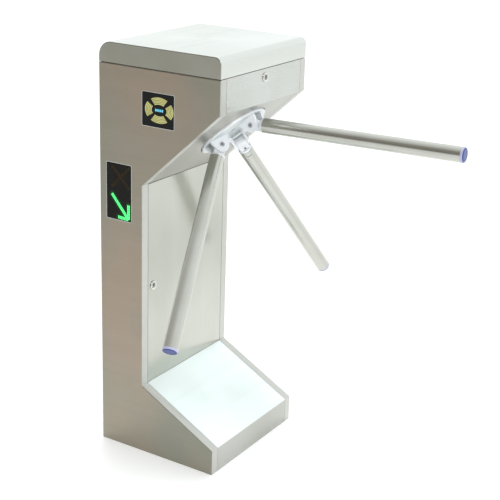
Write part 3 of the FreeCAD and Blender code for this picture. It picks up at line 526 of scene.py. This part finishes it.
# ---- card reader windows ----
def reader_faces():
    """The printed ring of four segments, its dark middle with a row of blue lamps, and the bright edge."""
    faces, (w, h) = side_faces("reader_windows")
    for side, at, mirror in faces:
        offset = Vector(READER_SHIFT)
        offset.x *= mirror
        edge = band(rounded_rectangle(w + BEZEL, h + BEZEL, WINDOW_CORNER + BEZEL / 2),
                    rounded_rectangle(w - 0.6, h - 0.6, WINDOW_CORNER - 0.3), -0.2, 0.35)
        piece("reader_edge_" + side, edge, CUT_EDGE, at, "cabinet")
        grounds, bands = [], []
        for quarter in range(4):
            middle = 90.0 * quarter
            ends = (middle - READER_SPAN, middle + READER_SPAN, 20)
            grounds.append((band(oval(*READER_MARK, *ends), oval(*READER_CORE, *ends), 0, INK, False),
                            Matrix.Translation(offset)))
            for i in range(READER_BANDS):
                inner, outer = [[c + (m - c) * k / READER_BANDS for c, m in zip(READER_CORE, READER_MARK)]
                                for k in (i + 0.16, i + 0.7)]
                bands.append((band(oval(*outer, *ends), oval(*inner, *ends), INK, 2 * INK, False),
                              Matrix.Translation(offset)))
        piece("reader_ring_" + side, together(grounds), OLIVE_INK, at, "cabinet")
        piece("reader_bands_" + side, together(bands), YELLOW_INK, at, "cabinet")
        lamps = [(sheet_of(rounded_rectangle(4.2, 5.6, 1.0), 0, 2 * INK),
                  Matrix.Translation(offset + Vector((x, 0, 0))))
                 for x in (-8.6, -2.9, 2.9, 8.6)]
        piece("reader_lamps_" + side, together(lamps), BLUE_LAMP, at, "cabinet")


# ---- direction sign windows ----
ARROW = [((-126.7, 633.0), (-82.0, 581.5)), ((-80.6, 612.5), (-80.6, 582.0)),
         ((-108.5, 581.5), (-83.5, 580.0))]
CROSS = [((-126.0, 700.0), (-79.0, 653.0)), ((-79.0, 700.0), (-126.0, 653.0))]


def led():
    """One lamp's lens: a low dome on a short collar."""
    r = LED_RADIUS
    return turned([(0, 1.1), (r * 0.45, 0.95), (r * 0.8, 0.55), (r, 0.1), (r, -0.2), (0, -0.2)], 12)


def lamp_rows(strokes, at):
    """Lamps in two rows along each stroke, placed in a window's frame."""
    into = at.inverted()
    parts = []
    for start, end in strokes:
        a, b = (into @ Vector((p[0] * MM, at.translation.y, p[1] * MM)) / MM for p in (start, end))
        along = b - a
        sideways = Vector((-along.y, along.x, 0)).normalized() * LED_PITCH / 2
        count = max(1, round(along.length / LED_PITCH))
        for i in range(count + 1):
            spot = a + along * i / count
            for side in (-1, 1):
                parts.append((led(), Matrix.Translation(spot + sideways * side)))
    return together(parts)


def sign_faces():
    """The lit arrow and the unlit cross behind each sign window, and the bright edge round it."""
    faces, (w, h) = side_faces("sign_windows")
    for side, at, mirror in faces:
        edge = band(rounded_rectangle(w + BEZEL, h + BEZEL, WINDOW_CORNER + BEZEL / 2),
                    rounded_rectangle(w - 0.6, h - 0.6, WINDOW_CORNER - 0.3), -0.2, 0.35)
        piece("sign_edge_" + side, edge, CUT_EDGE, at, "cabinet")
        piece("sign_arrow_" + side, lamp_rows(ARROW, at), GREEN_LAMP, at, "cabinet")
        piece("sign_cross_" + side, lamp_rows(CROSS, at), UNLIT_LAMP, at, "cabinet")


# ---- locks ----
def lock_faces():
    """The chromed rims of both locks, with a rolled edge, and a keyed plate in front of each plug whose keyhole is a
    black shape, painted shadow.
    """
    for node, plug, body, plug_body in (("lid_lock_barrel", "lid_lock_plug", "cabinet", "lid_lock"),
                                        ("door_lock_barrel", "door_lock_plug", "door", "door_lock")):
        low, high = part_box(node)
        middle = (low + high) / 2
        radius = (high.z - low.z) / 2 / MM - 3.5
        at = placed(Vector((high.x, middle.y, middle.z)), Y, Z)
        rim = turned([(6.2, 0.2), (7.0, 0.9), (radius + 0.3, 1.25), (radius + 1.5, 0.8),
                      (radius + 1.95, -0.1), (radius + 1.95, -1.2), (6.2, -1.2)], 48, True)
        piece(node + "_rim", rim, NICKEL, at, body)
        face = turned([(0, 0.5), (5.2, 0.5), (5.7, 0.1), (5.8, -0.9), (0, -0.9)], 40)
        piece(plug + "_face", face, PLUG_BRASS, at, plug_body)
        # painted shadow: the keyhole is a black shape on the plug's face
        key = together([(turned([(0, 0.62), (2.3, 0.62), (2.3, 0.3), (0, 0.3)], 20), shift(0, 2.2, 0)),
                        (sheet_of(rounded_rectangle(2.6, 8.6, 0.6), 0.3, 0.62), shift(0, -0.6, 0))])
        piece(plug + "_keyhole", key, SHADOW_BLACK, at, plug_body)


# ---- hub ----
def softened(node, name, width, finish, body):
    """A CAD part's own shape with its edges broken, as tumbling or a file leaves them."""
    bm = bmesh.new()
    bm.from_mesh(frame["nodes"][node].data)
    bmesh.ops.remove_doubles(bm, verts=bm.verts, dist=2e-6)
    bmesh.ops.dissolve_limit(bm, angle_limit=math.radians(0.6), verts=bm.verts, edges=bm.edges)
    bmesh.ops.scale(bm, vec=(1 / MM,) * 3, verts=bm.verts)
    return piece(name, bm, finish, Matrix.Identity(4), body, (node,), width)


def socket_outline(radius, steps=24):
    """A hexagon's outline with as many points as the circle round it."""
    points = []
    for i in range(steps):
        a = 2 * math.pi * i / steps
        face = (a + math.pi / 6) % (math.pi / 3) - math.pi / 6
        points.append((radius / math.cos(face) * math.cos(a), radius / math.cos(face) * math.sin(a)))
    return points


def socket_head(radius, rise, socket):
    """A round screw head with a hexagon socket, standing on z = 0."""
    return band(polygon(radius, 24), socket_outline(socket), -0.3, rise)


def socket_floor(socket, rise):
    """The bottom of a socket, painted dark: painted shadow in the recess."""
    return sheet_of(socket_outline(socket * 1.05), -0.2, rise * 0.3)


def across(offset, direction, spin=Z):
    """A frame in millimetres at offset in a piece's frame, with z along direction."""
    x = spin.cross(direction) if abs(spin.dot(direction)) < 0.9 else X
    return placed(Vector(offset), x.normalized(), direction.cross(x.normalized()))


def reach_of_pin(at):
    """How far the pivot pin at an arm's frame stands out to each side, in millimetres."""
    centre, pin = at.translation, at.col[1].to_3d()
    steps = []
    for v in frame["nodes"]["ear_pins"].data.vertices:
        offset = v.co - centre
        if (offset - pin * offset.dot(pin)).length < 9 * MM:
            steps.append(offset.dot(pin) / MM)
    return max(steps)


def pivot_pins():
    """The arms' pivot pins, with a round head and a hexagon socket at each end."""
    heads, floors = [], []
    hub = hub_frame()
    for number in (1, 2, 3):
        at = arm_frame(number)
        local = hub.inverted() @ at
        local.translation /= MM
        face = reach_of_pin(at) - PIVOT_RISE + 0.1
        shank = turned([(0, -face), (PIN_RADIUS, -face), (PIN_RADIUS, face), (0, face)], 32)
        heads.append((shank, local @ across((0, 0, 0), Y)))
        for way in (-1, 1):
            place = local @ across((0, way * face, 0), Y * way)
            heads.append((socket_head(PIVOT_HEAD, PIVOT_RISE, 2.4), place))
            floors.append((socket_floor(2.4, PIVOT_RISE), place))
    piece("pivot_pins", together(heads), FINISHES["fasteners"], hub, "hub",
          ("ear_pins",), 0.35)
    # painted shade in the floors of the pins' sockets
    piece("pivot_sockets", together(floors), PIVOT_SOCKET_SHADE, hub, "hub")


def arm_roots():
    """Each arm's milled root: a tongue with a round end, a collar with a turned edge, the plug that the
    tube is pressed on, and two set screws."""
    for number in (1, 2, 3):
        at, body = arm_frame(number), "arm_%d" % number
        start = span("arm_%d_tube" % number, at.translation, at.col[2].to_3d())[0]
        bore = ROOT_HALF + 2.5
        profile = [(ROOT_HALF * math.sin(math.radians(a)), -ROOT_HALF * math.cos(math.radians(a)))
                   for a in range(-90, 91, 12)]
        profile += [(ROOT_HALF, start - ROOT_COLLAR), (-ROOT_HALF, start - ROOT_COLLAR)]
        tongue = sheet_of(profile, -ROOT_WIDE, ROOT_WIDE)
        upright = Matrix(((1, 0, 0, 0), (0, 0, -1, 0), (0, 1, 0, 0), (0, 0, 0, 1)))
        edge = 1.2
        collar = turned([(0, start - ROOT_COLLAR - 0.2), (16.9 - edge, start - ROOT_COLLAR - 0.2),
                         (16.9, start - ROOT_COLLAR + edge), (16.9, start - 0.1), (0, start - 0.1)], 56)
        plug = turned([(0, start - 1), (bore - 0.3, start - 1), (bore - 0.3, start + ROOT_PLUG),
                       (0, start + ROOT_PLUG)], 40)
        piece(body + "_root_block", together([(tongue, upright), (collar, Matrix.Identity(4)),
                                              (plug, Matrix.Identity(4))]),
              FINISHES["arm_root"], at, body, (body + "_root",), 0.8)
        screws, floors = [], []
        for way in (-1, 1):
            place = across((way * ROOT_HALF, 0, start - ROOT_COLLAR - 5.0), X * way)
            screws.append((socket_head(3.4, 0.9, 1.7), place))
            floors.append((socket_floor(1.7, 0.9), place))
        piece(body + "_set_screws", together(screws), FINISHES["fasteners"], at, body,
              (), 0.25)
        piece(body + "_screw_sockets", together(floors), SHADOW_BLACK, at, body)


def curved_strip(radius, rise, z0, z1, half_angle, facing):
    """A strip that hugs a tube's outside, centred on the facing angle, in degrees."""
    angles = [math.radians(facing - half_angle + 2 * half_angle * i / 16) for i in range(17)]
    outer = [((radius + rise) * math.cos(a), (radius + rise) * math.sin(a)) for a in angles]
    inner = [((radius - 0.2) * math.cos(a), (radius - 0.2) * math.sin(a)) for a in angles]
    return band(outer, inner, z0, z1, False)


def tube_ends():
    """The release slot near each tube's root, a bright rim round a black strip that is painted shadow, and the end
    cap: a pale collar and a blue face.
    """
    for number in (1, 2, 3):
        at, body = arm_frame(number), "arm_%d" % number
        along = at.col[2].to_3d()
        start, end = span("arm_%d_tube" % number, at.translation, along)
        tip = span("arm_%d_cap" % number, at.translation, along)[1]
        radius = TUBE_RADIUS
        middle = start + SLOT_FROM_END
        rim = curved_strip(radius, 0.25, middle - 1.9, middle + 1.9, SLOT_HALF_ANGLE, 180.0)
        # painted shadow: the slot is a black strip on the tube
        gap = curved_strip(radius, 0.35, middle - 0.7, middle + 0.7, SLOT_HALF_ANGLE - 4, 180.0)
        piece(body + "_slot_rim", rim, CUT_EDGE, at, body)
        piece(body + "_slot", gap, SHADOW_BLACK, at, body)
        collar = turned([(14.0, end - 14), (15.4, end - 14), (15.4, end), (radius, end + 0.1),
                         (radius + 0.15, end + 1), (radius, end + CAP_COLLAR), (radius - 1.0, end + CAP_COLLAR + 0.6),
                         (14.0, end + CAP_COLLAR + 0.6)], 56, True)
        piece(body + "_cap_collar", collar, LILAC_CAP, at, body, (body + "_cap",))
        face = turned([(0, tip - 0.7), (9.0, tip - 0.4), (radius - 2.6, tip - 0.3),
                       (radius - 1.4, tip - 1.0), (radius - 1.2, end + CAP_COLLAR - 1.0), (0, end + CAP_COLLAR - 1.0)], 56)
        piece(body + "_cap_face", face, FINISHES["end_cap"], at, body)


def sheet_screws():
    """Button screws: four down each edge of the back, and two in each leaf of the lid's hinges."""
    low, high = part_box("back_panel")
    side_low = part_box("side_plate_reader")[0]
    back = placed(Vector((side_low.x, 0, 0)), Y, -Z)
    heads, floors = [], []
    for y in (side_low.y / MM + 12, -side_low.y / MM - 12):
        for share in (0.08, 0.36, 0.64, 0.9):
            place = shift(y, -high.z / MM * share, 0)
            heads.append((socket_head(4.5, 2.0, 1.7), place))
            floors.append((socket_floor(1.7, 2.0), place))
    piece("back_screws", together(heads), FINISHES["fasteners"], back, "cabinet", (), 0.8)
    piece("back_screw_sockets", together(floors), SHADOW_BLACK, back, "cabinet")
    for node, body, share in (("lid_hinge_fixed_leaves", "cabinet", 0.25),
                              ("lid_hinge_moving_leaves", "lid", 0.75)):
        low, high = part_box(node)
        face = placed(Vector((side_low.x - 2.0 * MM, 0, low.z + (high.z - low.z) * share)), Y, -Z)
        screws = []
        for y in (low.y / MM + 25, high.y / MM - 25):
            for step in (-14, 14):
                screws.append((turned([(0, 0.5), (1.2, 0.9), (2.6, 0.5), (3.2, -0.2), (0, -0.2)], 24),
                               shift(y + step, 0, 0)))
        piece(node + "_screws", together(screws), FINISHES["fasteners"], face, body)


# ---- the index lever's spring ----
def coil(radius, wire, turns, length, steps=20, sides=8):
    """A compression spring along z from 0 to length, with its last turn closed at each end."""
    bm = bmesh.new()
    rings = []
    for i in range(turns * steps + 1):
        turn = i / steps
        climb = min(max((turn - 1) / (turns - 2), 0), 1)
        rise = wire + (length - 2 * wire) * climb
        rings.append([bm.verts.new(((radius + wire * math.cos(b)) * math.cos(2 * math.pi * turn),
                                    (radius + wire * math.cos(b)) * math.sin(2 * math.pi * turn),
                                    rise + wire * math.sin(b)))
                      for b in (2 * math.pi * k / sides for k in range(sides))])
    for first, second in zip(rings, rings[1:]):
        for k in range(sides):
            bm.faces.new((first[k], first[k - 1], second[k - 1], second[k]))
    bm.faces.new(rings[0])
    bm.faces.new(rings[-1][::-1])
    bmesh.ops.recalc_face_normals(bm, faces=bm.faces)
    return bm


def index_spring():
    """The spring between the lever's tail and its anchor. The real one shortens as the roller drops in a notch; this
    coil keeps one length, and the travel worked out here is not used.
    """
    low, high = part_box("index_spring")
    middle = (low + high) / 2
    turn = JOINTS["index_lever_turn"]
    travel = (Vector(turn["pos_m"]) - middle).cross(Vector(turn["axis"]).normalized()).dot(Y)
    travel = abs(travel) * math.sin(math.radians(turn["range_deg"][1]))
    made = piece("index_spring_coil", coil(SPRING_RADIUS, SPRING_WIRE, SPRING_TURNS, (high.y - low.y) / MM),
                 FINISHES["machined_steel"], placed(Vector((middle.x, low.y, middle.z)), Z, X), "cabinet",
                 ("index_spring",))
    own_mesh(made)


# ---- the floor, the light ----
def studio():
    """A pale floor that glows round the object and beyond it, painted light, a soft sky and two soft lights."""
    bm = bmesh.new()
    bmesh.ops.create_circle(bm, cap_ends=True, radius=30.0, segments=96)
    mesh = bpy.data.meshes.new("floor")
    bm.to_mesh(mesh)
    bm.free()
    made, tree, out = finish_of("matt_white_floor")
    cloud = grained(tree, (900, 900, 900), 2.0)
    where = add(tree, "TexCoord").outputs["Object"]
    away = add(tree, "VectorMath", {"operation": "LENGTH"}, {0: where}).outputs["Value"]
    beyond = add(tree, "SeparateXYZ", {}, {0: where}).outputs["Y"]
    # painted light: the floor's own glow, strongest round the object to clear its shadows, and rising beyond it
    glow = add(tree, "Math", {"operation": "MAXIMUM"},
               {0: between(tree, away, TABLE_GLOW[0], TABLE_GLOW[1], TABLE_GLOW[2], 0.0),
                1: between(tree, beyond, FLOOR_GLOW[0], FLOOR_GLOW[1], 0.0, FLOOR_GLOW[2])}).outputs[0]
    shader = add(tree, "BsdfPrincipled", {"Specular IOR Level": 0.1},
                 {"Base Color": ramp(tree, cloud, [(0.3, linear("#f4f4f4")), (0.7, linear("#f9f9f9"))]),
                  "Roughness": between(tree, cloud, 0.3, 0.7, 0.85, 0.95),
                  "Emission Color": ramp(tree, cloud, [(0.3, linear("#f6f6f6")), (0.7, linear("#ffffff"))]),
                  "Emission Strength": glow})
    tree.links.new(shader.outputs[0], out.inputs[0])
    mesh.materials.append(made)
    floor = bpy.data.objects.new("floor", mesh)
    floor.location.z = -0.0005
    bpy.context.scene.collection.objects.link(floor)

    world = bpy.data.worlds.new("studio")
    bpy.context.scene.world = world
    world.use_nodes = True
    tree = world.node_tree
    tree.nodes.clear()
    where = add(tree, "TexCoord").outputs["Generated"]
    ahead = add(tree, "VectorMath", {"operation": "DOT_PRODUCT", 1: Vector((0.1, 0.85, 0.5)).normalized()},
                {0: where}).outputs["Value"]
    tone = ramp(tree, between(tree, ahead, -1.0, 1.0, 0.0, 1.0),
                [(0.05, linear("#7b776f")), (0.35, linear("#92908b")), (0.55, linear("#ced0ce")),
                 (0.75, linear("#e6eae9")), (0.88, linear("#fbffff"))])
    sky = add(tree, "Background", {"Strength": 1.3}, {"Color": tone})
    tree.links.new(sky.outputs[0], add(tree, "OutputWorld").inputs[0])

    for name, place, aim, size, power, colour in (
            ("floor_light", (-1.3, 2.4, 4.2), (-1.0, 1.9, 0.0), 3.4, 72, "#ffffff"),
            ("front_light", (3.0, -2.4, 2.8), (0.1, 0.0, 0.6), 1.6, 55, "#fbfcff")):
        data = bpy.data.lights.new(name, "AREA")
        data.shape = "DISK"
        data.size = size
        data.energy = power
        data.color = linear(colour)[:3]
        light = bpy.data.objects.new(name, data)
        light.location = place
        light.visible_glossy = name != "floor_light"       # it is a wide soft ceiling, not a bright disc
        light.rotation_euler = (Vector(aim) - Vector(place)).to_track_quat("-Z", "Y").to_euler()
        bpy.context.scene.collection.objects.link(light)
    bpy.context.scene.view_settings.view_transform = "Standard"


# ---- all finishes, by the record's slots ----
YELLOW_INK = moulded("yellow_screen_ink", "#e4e08a", "#d4cf74", 0.35, grain=0.8, coat=1.0)
OLIVE_INK = moulded("olive_screen_ink", "#6f6b2a", "#625e22", 0.4, grain=0.8, coat=1.0)
BLUE_LAMP = lit("blue_lamp_acrylic", "#6cc7de", "#2592b4", 0.45)
GREEN_LAMP = lit("green_lamp_lens", "#5cf48e", "#08c83e", 1.0)
LILAC_CAP = moulded("lilac_polyethylene", "#c6c5e2", "#b3b2d6", 0.3, 1.51, 1.0, 0.01)
UNLIT_LAMP = moulded("unlit_red_lamp_lens", "#3d321d", "#332919", 0.5, shine=0.1)
# painted shade: a mid grey for the floors of the pivot pins' sockets, standing for the shade inside them
PIVOT_SOCKET_SHADE = moulded("painted_shade_hexagon_socket", "#64646e", "#52525c", 0.5)
CUT_EDGE = metal("sheared_stainless_edge", "#e4e4e2", "#d0d0cd", 0.3, (2, 2, 2), 0.01)
NICKEL = metal("nickel_plate", "#dcdbd8", "#cdcbc8", 0.18, (1.5, 1.5, 1.5), 0.004)
PLUG_BRASS = metal("plated_brass_plug", "#a9a8a6", "#969593", 0.22, (1.0, 1.0, 1.0), 0.004)
# painted shadow: black for keyholes, slots and socket floors, where there is only shade
SHADOW_BLACK = moulded("painted_shadow_black", "#0c0c0d", "#080808", 0.5)

FINISHES = {
    # painted shade and light: the side plates' faces take a deeper tone and their turned edges a paler one, by which
    # way each face looks
    "side_plates": hairline_stainless("hairline_stainless_sides", "#aaa59c", "#a49f96", "x", 0.36, 0.6,
                                      ("Y", "#c6c6c2", "#c1c1bc"), ("#fdece0", "#e0eae2")),
    "front_panels": hairline_stainless("hairline_stainless_front", "#c9cbc8", "#c4c6c3", "y", 0.26, 0.3),
    "door": hairline_stainless("hairline_stainless_door", "#c8cac3", "#c4c5be", "z", 0.15, 0.3),
    # painted light: the slope cover's steel is painted near white with a blue tint, as it looks under the bright sky
    "slope_cover": hairline_stainless("painted_light_slope_stainless", "#f3fdfd", "#eff9f9", "y", 0.4, 0.3),
    "back_panel": hairline_stainless("hairline_stainless_back", "#c6c5c0", "#bfbeb8", "z", 0.3, 0.3),
    # painted light and shade: the lid's top and front are painted paler and its sides deeper, by which way each face
    # looks
    "lid": hairline_stainless("hairline_stainless_lid", "#a5a39a", "#9f9c93", "y", 0.24, 0.4,
                              ("Y", "#d2d5d1", "#cdd0cc"), ("#eef0ec", "#ffffff")),
    "base_plate": moulded("primer_grey_paint", "#45484b", "#35383a", 0.6, 1.5, 1.2, 0.05),
    "gasket": moulded("neoprene_foam", "#1c1c1c", "#111111", 0.75, 1.5, 0.8, 0.12),
    "reader_window": moulded("black_acrylic", "#0d0d0f", "#08080a", 0.1, 1.49, 3.0, 0.002, shine=0.2),
    "sign_window": smoked_acrylic("smoked_acrylic", ARROW),
    "zinc_steel": metal("zinc_plated_steel", "#c9cbc8", "#aeb3b0", 0.42, (3, 3, 3), 0.02),
    "hinge_steel": metal("satin_hinge_steel", "#c6c5c1", "#b0afaa", 0.3, (0.6, 18, 0.6), 0.01),
    "lock_chrome": NICKEL,
    "hub_casting": faced_casting("silver_enamelled_casting", "#f2f4f7", "#e8ebef", ("#d8dddd", "#cdd2d3"),
                                 hub_frame().col[2].to_3d(), 0.36),
    "fasteners": metal("bright_zinc_fasteners", "#c9cbd3", "#b3b6c0", 0.3, (1, 1, 1), 0.005, 0.8),
    "machined_steel": metal("turned_oiled_steel", "#a9a7a3", "#8c8a86", 0.25, (0.7, 0.7, 14), 0.01),
    "cast_housing": metal("sand_cast_iron", "#7b7d7f", "#5c5e60", 0.6, (1.6, 1.6, 1.6), 0.15),
    "solenoid_coil": moulded("taped_coil", "#26262b", "#17171b", 0.5, 1.5, 1.0, 0.1),
    "sensor_plastic": moulded("glass_filled_nylon", "#18181a", "#0f0f10", 0.5, 1.53, 0.8, 0.06),
    "arm_root": metal("milled_aluminium", "#f1f3f6", "#e6e9ed", 0.34, (0.8, 0.8, 20), 0.01, 0.35),
    "arm_tube": satin_tube("satin_stainless_tube", "#c6c6c0", "#c3c3bd", 0.22),
    "end_cap": moulded("blue_polyethylene", "#3f4f93", "#334383", 0.34, 1.51, 1.2, 0.02),
}


PANEL_FINISHES = {
    # painted shade: the overhang is the front panels' steel painted a deeper tone
    "chamfer_panel": hairline_stainless("hairline_stainless_overhang", "#b0b0a9", "#aaaaa3", "x",
                                        0.36, 0.3),
    # painted shade: the toe is the front panels' steel painted a little deeper
    "toe_panel": hairline_stainless("hairline_stainless_toe", "#bfc1bc", "#babbb6", "y", 0.3, 0.3),
}


def circuit_boards():
    """The three kinds of board, each with its parts on the side away from its posts."""
    board = {"control_board": (0, 1, lambda low, high: low.x + 13.4 * MM),
             "reader_boards": (1, 0, lambda low, high: high.y - 10.0 * MM),
             "sign_boards": (1, 0, lambda low, high: high.y - 10.0 * MM)}
    return {node: circuit_board("solder_mask_" + node, node, *rule) for node, rule in board.items()}


def dress_frame():
    """Every CAD part takes its slot's finish."""
    boards = circuit_boards()
    for part in frame["record"]["subparts"]:
        node = frame["nodes"][part["node"]]
        finish = (boards.get(part["node"]) or PANEL_FINISHES.get(part["node"])
                  or FINISHES[part["material_slot"]])
        node.data.materials.clear()
        node.data.materials.append(finish)


camera()
studio()
dress_frame()
reader_faces()
sign_faces()
lock_faces()
softened("hub_disc", "hub_casting", 0.8, FINISHES["hub_casting"], "hub")
pivot_pins()
arm_roots()
tube_ends()
sheet_screws()
index_spring()
